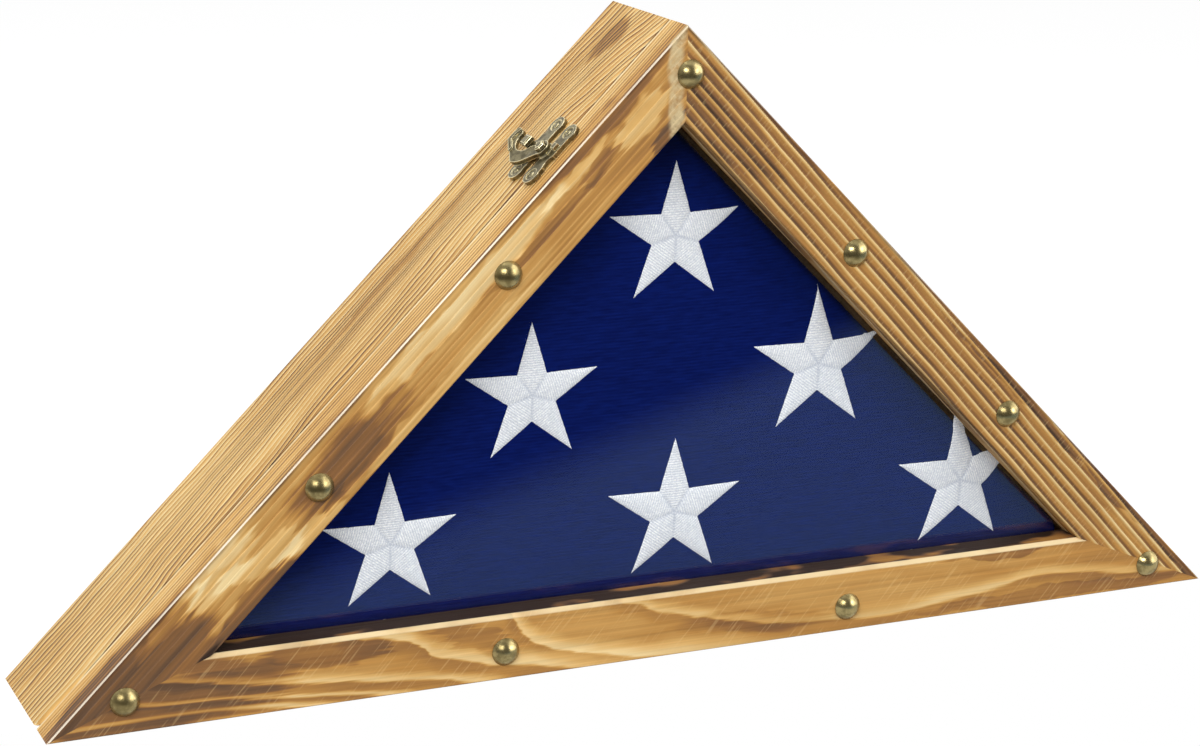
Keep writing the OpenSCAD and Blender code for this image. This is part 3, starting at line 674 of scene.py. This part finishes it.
def metal(name, colours, rough, scale, edge=0.0):
    """Plated or cast metal in rubbed, light and dark colours, and rubbed bright along its edges."""
    rubbed, light, dark = colours
    made, tree = new_material(name)
    place = add(tree, "ShaderNodeTexCoord").outputs["Object"]
    cloud = mapped(tree, noise_at(tree, place, scale, 3.0, 0.6), 0.32, 0.68)
    rub = add(tree, "ShaderNodeAttribute", attribute_name="rub").outputs["Fac"]
    if edge:
        softened = add(tree, "ShaderNodeBevel", edge, samples=6).outputs[0]
        flat = add(tree, "ShaderNodeNewGeometry").outputs["Normal"]
        bent = vmath(tree, "DOT_PRODUCT", softened, flat)
        rub = maths(tree, "MAXIMUM", rub, mapped(tree, bent, 0.86, 0.985, 1.0, 0.0))
    colour = blended(tree, rub, blended(tree, cloud, dark, light), rubbed)
    duller = mapped(tree, cloud, 0.0, 1.0, rough + 0.14, rough, smooth=False)
    grit = noise_at(tree, place, scale * 5, 2.0, 0.6)
    surfaced(tree, grit, 0.12, 0.0001, {"Base Color": colour, "Roughness": duller, "Metallic": 0.85})
    return made


HARDBOARD = (srgb(150, 116, 80), srgb(108, 78, 50))
ZINC = (srgb(220, 222, 224), srgb(196, 198, 200), srgb(146, 148, 150))
paint("back_panel", plain_board("brown_hardboard", *HARDBOARD, 700.0, 0.75))
zinc = metal("zinc_plate", ZINC, 0.34, 260.0)
for name in (
    "corner_brads", "back_panel_brads", "sawtooth_hanger", "hanger_nails", "door_corner_nails",
    "glazing_brads",
):
    paint(name, zinc)


# ---- Glass and glazing strips ----------------------------------------------------------
# The pane is plain picture glass and lies in the rebate of the rails. Bare pine strips,
# bradded to the rails, hold it in.
GLASS = (0.985, 0.995, 0.99, 1)
GLASS_SHADE = (0.985, 0.99, 0.99, 1)  # tint of the lamps' light that falls through the pane
BARE_PINE = (srgb(222, 190, 142), srgb(190, 150, 100))
clear, tree = new_material("picture_glass")
pane = add(
    tree, "ShaderNodeBsdfPrincipled",
    sockets={"Base Color": GLASS, "Roughness": 0.0, "IOR": 1.5, "Transmission Weight": 1.0},
)
through = add(tree, "ShaderNodeBsdfTransparent", GLASS_SHADE)
rays = add(tree, "ShaderNodeLightPath").outputs
unseen = maths(tree, "MAXIMUM", rays["Is Shadow Ray"], rays["Is Diffuse Ray"])
both = add(tree, "ShaderNodeMixShader", unseen, pane.outputs[0], through.outputs[0])
add(tree, "ShaderNodeOutputMaterial", both.outputs[0])
paint("glass_pane", clear)
bare_pine = plain_board("bare_pine", *BARE_PINE, 300.0, 0.6)
for side in ("left", "right", "bottom"):
    paint(f"glazing_strip_{side}", bare_pine)


# ---- Folded flag -----------------------------------------------------------------------
# A cotton flag folded into a thick triangle. The face is one taut layer of navy cloth, and
# the folded layers show as soft ridges round the edge.
FLAG_ROUND = 0.008  # radius of the flag's three corners
CORNER_START = 2.4  # where the rounding of a corner starts along its edges, in radii
FLAG_SWELL = 0.003  # room left for the cloth to swell, inside the space that the case gives it
FLAG_EDGE = 0.012  # radius round the rim of the face
FLAG_VOXEL = 0.0055
CLOTH_PUSH = 4  # pressure of the wad of cloth behind the face
CLOTH_FRAMES = 20
CLOTH_LIMIT = 0.9 * FLAG_SWELL
FLAG_LAYERS = 6
LAYER_SINK = 0.0016
FACE_UNEVEN = 0.0005
FACE_WAVES = 14  # per metre
WEFT = 0.0017  # from one weft thread to the next
NAVY = srgb(2, 13, 72)
NAVY_LIT = srgb(7, 28, 104)


def new_piece(name, bm, body, material, smooth=True):
    """Turns a bmesh into a piece that rides on a body."""
    mesh = bpy.data.meshes.new(name)
    bm.to_mesh(mesh)
    bm.free()
    mesh.materials.append(material)
    if smooth:
        mesh.shade_smooth()
    made = bpy.data.objects.new(name, mesh)
    scene.collection.objects.link(made)
    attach(made, body)
    return made


def only_verts(geom):
    return [part for part in geom if isinstance(part, bmesh.types.BMVert)]


def bake(piece):
    """Applies a piece's modifiers to its mesh."""
    graph = bpy.context.evaluated_depsgraph_get()
    shape = bpy.data.meshes.new_from_object(piece.evaluated_get(graph))
    piece.modifiers.clear()
    piece.data = shape


cotton, tree = new_material("navy_cotton")
place = add(tree, "ShaderNodeTexCoord").outputs["Object"]
weft = maths(tree, "SINE", times(tree, parted(tree, place)[2], 2 * math.pi / WEFT))
weave = laid(tree, weft, 0.1, stretched(tree, place, (110.0, 500.0, 900.0), 2.0, 0.6))
colour = blended(tree, mapped(tree, weave, 0.0, 1.0), NAVY, NAVY_LIT)
surfaced(tree, weave, 0.4, 0.0002, {"Base Color": colour, "Roughness": 0.9, "Specular IOR Level": 0.05})

flag_low, flag_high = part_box("folded_flag")
flag_depth = flag_high[1] - flag_low[1]
flag_half = flag_high[0] + FLAG_ROUND * math.sqrt(2)  # to the tip, before it is rounded
inner_radius = flag_half * (math.sqrt(2) - 1)
middle_z = flag_low[2] + inner_radius
shrink = 1 - FLAG_SWELL / inner_radius
front = flag_low[1] + FLAG_SWELL
bm = bmesh.new()
outline = []
for x, z in ((-flag_half, 0), (flag_half, 0), (0, flag_half)):
    outline.append(bm.verts.new((x * shrink, front, middle_z + (z - inner_radius) * shrink)))
bm.faces.new(outline)
bmesh.ops.bevel(
    bm, geom=bm.verts[:], offset=CORNER_START * FLAG_ROUND, offset_type="OFFSET", affect="VERTICES",
    segments=6, profile=0.5, material=-1,
)
raised = bmesh.ops.extrude_face_region(bm, geom=bm.faces[:])
bmesh.ops.translate(bm, verts=only_verts(raised["geom"]), vec=(0, flag_depth - 2 * FLAG_SWELL, 0))
bmesh.ops.recalc_face_normals(bm, faces=bm.faces[:])
rims = [e for e in bm.edges if abs(e.verts[0].co.y - e.verts[1].co.y) < 1e-6]
bmesh.ops.bevel(
    bm, geom=rims, offset=FLAG_EDGE, offset_type="OFFSET", affect="EDGES", segments=4, profile=0.5,
    material=-1, clamp_overlap=True,
)
flag = new_piece("cotton_flag", bm, "case", cotton)
coarse = flag.modifiers.new("remesh", "REMESH")
coarse.mode = "VOXEL"
coarse.voxel_size = FLAG_VOXEL
bake(flag)
rest = [v.co.copy() for v in flag.data.vertices]
cloth = flag.modifiers.new("cloth", "CLOTH")
cloth.settings.use_pressure = True
cloth.settings.uniform_pressure_force = CLOTH_PUSH
cloth.settings.effector_weights.gravity = 0
cloth.point_cache.frame_end = CLOTH_FRAMES
for step in range(1, CLOTH_FRAMES + 1):
    scene.frame_set(step)
bake(flag)
scene.frame_set(1)
for vertex, was in zip(flag.data.vertices, rest):
    moved = vertex.co - was
    if moved.length > CLOTH_LIMIT:
        vertex.co = was + moved.normalized() * CLOTH_LIMIT

# the edge sinks a little between one folded layer and the next, and the face is a little uneven
layer = flag_depth / FLAG_LAYERS
normals = [v.normal.copy() for v in flag.data.vertices]
for vertex, normal in zip(flag.data.vertices, normals):
    sideways = 1 - abs(normal.y)
    sink = abs(math.cos(math.pi * (vertex.co.y - flag_low[1]) / layer)) ** 3
    vertex.co -= normal * LAYER_SINK * sink * min(1, 1.5 * sideways)
    vertex.co.y += FACE_UNEVEN * noise.noise(vertex.co * FACE_WAVES) * abs(normal.y)
finer = flag.modifiers.new("finer", "SUBSURF")
finer.levels = finer.render_levels = 1
bake(flag)
flag.data.shade_smooth()
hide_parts("folded_flag")


# ---- Embroidered stars -----------------------------------------------------------------
# Each star is satin stitched in white thread and stands a little proud of the cloth: five
# padded arms that meet along grooves. The arms stay straight, and only their depth follows
# the cloth.
STARS = [  # across, up, and how large beside STAR_REACH
    (0.0071, 0.2155, 1.06), (-0.0701, 0.1392, 1.04), (0.0911, 0.1408, 1.11),
    (-0.1456, 0.07, 1.03), (0.0099, 0.0692, 1.09), (0.1806, 0.0673, 1.12),
]
STAR_REACH = 0.0371
STAR_VALLEY = 0.365 * STAR_REACH  # from the middle to where two arms meet
STAR_FOLD = math.radians(36)  # from the middle of an arm to the groove beside it
STAR_CUTS = 19
STAR_PAD = 0.0011
PAD_SLOPE = 0.0022  # how far in from the outline the padding rises
STAR_GROOVE = 0.0005
GROOVE_SPREAD = 0.0009
# how fast the painted shade of a groove fades aside
GROOVE_SHADE_SPREAD = 0.0005
STAR_HEM = 0.0004  # how deep the outline of a star is stitched into the cloth
THINNEST = 0.0001  # least thread above the cloth
RAGGED = 0.035
RAGGED_TEETH = 900  # per metre
STITCH = 0.0012  # from one stitch to the next
THREAD = (srgb(218, 221, 230), srgb(255, 255, 255))
THREAD_GLINT = srgb(196, 200, 212)
THREAD_GROOVE_SHADE = srgb(176, 182, 198)

thread, tree = new_material("white_thread")
run = add(tree, "ShaderNodeAttribute", attribute_name="stitch").outputs["Fac"]
groove_shade = add(tree, "ShaderNodeAttribute", attribute_name="groove_shade").outputs["Fac"]
place = add(tree, "ShaderNodeTexCoord").outputs["Object"]
uneven = times(tree, noise_at(tree, place, 900.0, 2.0, 0.6), 5.0)
strand = maths(tree, "SINE", laid(tree, run, 2 * math.pi / STITCH, uneven))
tone = mapped(tree, strand, -1.0, 1.0, smooth=False)
glint = mapped(tree, noise_at(tree, place, 1200.0, 1.0, 0.5), 0.35, 0.65)
colour = blended(tree, tone, *THREAD)
colour = blended(tree, times(tree, glint, 0.5), colour, THREAD_GLINT)
# painted shade in the grooves where two arms meet, deepest near the middle
colour = blended(tree, times(tree, groove_shade, 0.55), colour, THREAD_GROOVE_SHADE)
# the thread also glows a little in its own colour: painted light that brightens the stars behind the glass
surfaced(tree, plus(tree, tone, glint), 0.5, 0.0003, {
    "Base Color": colour, "Roughness": 0.55, "Sheen Weight": 0.1, "Emission Color": colour,
    "Emission Strength": 0.16,
})

bm = bmesh.new()
stitch = bm.verts.layers.float.new("stitch")
lift = bm.verts.layers.float.new("lift")
groove_shade = bm.verts.layers.float.new("groove_shade")
outline = bmesh.ops.create_circle(bm, cap_ends=False, segments=10, radius=STAR_REACH)["verts"]
for vertex in outline:
    point = round(math.atan2(vertex.co.x, vertex.co.y) / STAR_FOLD)
    reach = STAR_REACH if point % 2 == 0 else STAR_VALLEY
    vertex.co = (reach * math.sin(STAR_FOLD * point), 0, reach * math.cos(STAR_FOLD * point))
middle = bmesh.ops.contextual_create(bm, geom=outline)["faces"]
bmesh.ops.poke(bm, faces=middle)
bmesh.ops.subdivide_edges(bm, edges=bm.edges[:], cuts=STAR_CUTS, use_grid_fill=True)
valley_side = STAR_VALLEY * math.sin(STAR_FOLD)
arm_side = Vector((STAR_REACH - STAR_VALLEY * math.cos(STAR_FOLD), valley_side))
for vertex in bm.verts:
    rho = math.hypot(vertex.co.x, vertex.co.z)
    off = math.atan2(vertex.co.x, vertex.co.z)
    off -= round(off / (2 * STAR_FOLD)) * 2 * STAR_FOLD
    ahead = rho * math.cos(off)
    aside = rho * abs(math.sin(off))
    groove = abs(rho * math.sin(STAR_FOLD - abs(off)))
    rim = ((STAR_REACH - ahead) * arm_side.y - aside * arm_side.x) / arm_side.length
    vertex[stitch] = ahead
    # how much painted shade a spot gets, close to a groove and towards the middle
    vertex[groove_shade] = math.exp(-groove / GROOVE_SHADE_SPREAD) * min(1.0, max(0.0, 1.3 - rho / STAR_VALLEY))
    if rim > 1e-5:
        puffed = STAR_PAD * (1 - math.exp(-rim / PAD_SLOPE))
        vertex[lift] = max(puffed - STAR_GROOVE * math.exp(-groove / GROOVE_SPREAD), THINNEST)
    else:
        vertex[lift] = -STAR_HEM
        vertex.co *= 1 + RAGGED * noise.noise(vertex.co * RAGGED_TEETH)
one_star = bm.verts[:] + bm.edges[:] + bm.faces[:]
for x, z, size in STARS:
    for vertex in only_verts(bmesh.ops.duplicate(bm, geom=one_star)["geom"]):
        vertex.co = vertex.co * size + Vector((x, 0, z))
bmesh.ops.delete(bm, geom=only_verts(one_star), context="VERTS")
cloth_face = BVHTree.FromObject(flag, bpy.context.evaluated_depsgraph_get())
for vertex in bm.verts:
    spot = cloth_face.find_nearest(Vector((vertex.co.x, front, vertex.co.z)))[0]
    vertex.co.y = spot.y - vertex[lift]
bmesh.ops.recalc_face_normals(bm, faces=bm.faces[:])
for face in bm.faces:
    if face.normal.y > 0:
        face.normal_flip()
stars = new_piece("embroidered_stars", bm, "case", thread)
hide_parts("flag_stars")


# ---- Dome tacks ------------------------------------------------------------------------
# Nine pressed domes of darkened brass, each on a round pointed shank that is driven by hand
# into the face of a rail.
TACK_RADIUS = 0.0073
TACK_RISE = 0.0048
DOME_REACH = 0.985 * TACK_RADIUS  # where the dome meets its rim
DOME_STEPS = 9
RIM_HIGH = 0.0003
RIM_ROLL = 0.0002  # how far the rolled rim stands above the foot of the dome
RIM_TUCK = 0.0004  # how far the foot of the rim is tucked in
SHANK_RADIUS = 0.001
SHANK_TIP = 0.0104  # how far below the rail's face the shank ends, and where its point begins
SHANK_POINT = 0.009
TACK_PLACES = [
    (0.002, 0.301), (0.0975, 0.2045), (0.1935, 0.1095), (0.2895, 0.0135),
    (-0.093, 0.208), (-0.1895, 0.1115), (-0.287, 0.016), (-0.093, 0.0145), (0.101, 0.013),
]
DARK_BRASS = (srgb(220, 204, 156), srgb(170, 154, 106), srgb(124, 110, 70))
brass = metal("antique_brass", DARK_BRASS, 0.2, 200.0)

ball = (TACK_RADIUS**2 + TACK_RISE**2) / (2 * TACK_RISE)  # radius of the ball a dome is cut from
profile = [(0.0, -SHANK_TIP), (SHANK_RADIUS, -SHANK_POINT), (SHANK_RADIUS, 0.0)]
profile += [(TACK_RADIUS - RIM_TUCK, 0.0), (TACK_RADIUS, RIM_HIGH)]
for step in range(DOME_STEPS, -1, -1):
    reach = DOME_REACH * step / DOME_STEPS
    roll = RIM_ROLL if step == DOME_STEPS else 0.0
    profile.append((reach, TACK_RISE - ball + math.sqrt(ball**2 - reach**2) + roll))
bm = bmesh.new()
for x, z in TACK_PLACES:
    chain = [bm.verts.new((x + reach, FRONT - high, z)) for reach, high in profile]
    line = [bm.edges.new(pair) for pair in zip(chain, chain[1:])]
    bmesh.ops.spin(
        bm, geom=chain + line, cent=(x, FRONT, z), axis=(0, 1, 0), angle=2 * math.pi, steps=32,
        use_merge=True, use_duplicate=False, dvec=(0, 0, 0),
    )
bmesh.ops.remove_doubles(bm, verts=bm.verts[:], dist=1e-6)
bmesh.ops.recalc_face_normals(bm, faces=bm.faces[:])
tacks = new_piece("dome_tacks", bm, "door", brass)
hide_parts("face_tacks")


# ---- Hinges and swing latch ------------------------------------------------------------
# Two brass butt hinges are screwed along the bottom seam. The latch is cast brass: two eared
# plates, a hook that turns on a headed pivot, and a post that it catches. Casting leaves its
# edges round, and handling keeps them bright.
CAST_ROUND = 0.00045
CAST_RUB = 0.0011  # how far in from an edge the casting is rubbed
CAST_BRASS = (srgb(244, 232, 190), srgb(140, 130, 98), srgb(92, 84, 60))
BODY_OF = {
    "latch_door_plate": "door", "latch_door_nails": "door", "latch_rivet": "door", "latch_hook": "hook",
    "latch_case_plate": "case", "latch_case_nails": "case", "latch_knob": "case",
}
cast = metal("cast_brass", CAST_BRASS, 0.26, 260.0, CAST_RUB)


def rounded(name):
    """A copy of a CAD node with its sharp edges rounded and marked as rubbed."""
    bm = bmesh.new()
    bm.from_mesh(nodes[name].data)
    rub = bm.faces.layers.float.new("rub")
    bmesh.ops.remove_doubles(bm, verts=bm.verts[:], dist=1e-6)
    bmesh.ops.dissolve_limit(bm, angle_limit=math.radians(4), verts=bm.verts[:], edges=bm.edges[:])
    sharp = [e for e in bm.edges if e.is_manifold and e.calc_face_angle(0) > math.radians(35)]
    made = bmesh.ops.bevel(
        bm, geom=sharp, offset=CAST_ROUND, offset_type="OFFSET", affect="EDGES", segments=2, profile=0.5,
        material=-1, clamp_overlap=True,
    )
    for face in made["faces"]:
        face[rub] = 1.0
    piece = new_piece(f"cast_{name}", bm, BODY_OF[name], cast, smooth=False)
    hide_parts(name)


for name in BODY_OF:
    rounded(name)
for name in nodes:
    if name.startswith("hinge_"):
        paint(name, brass)
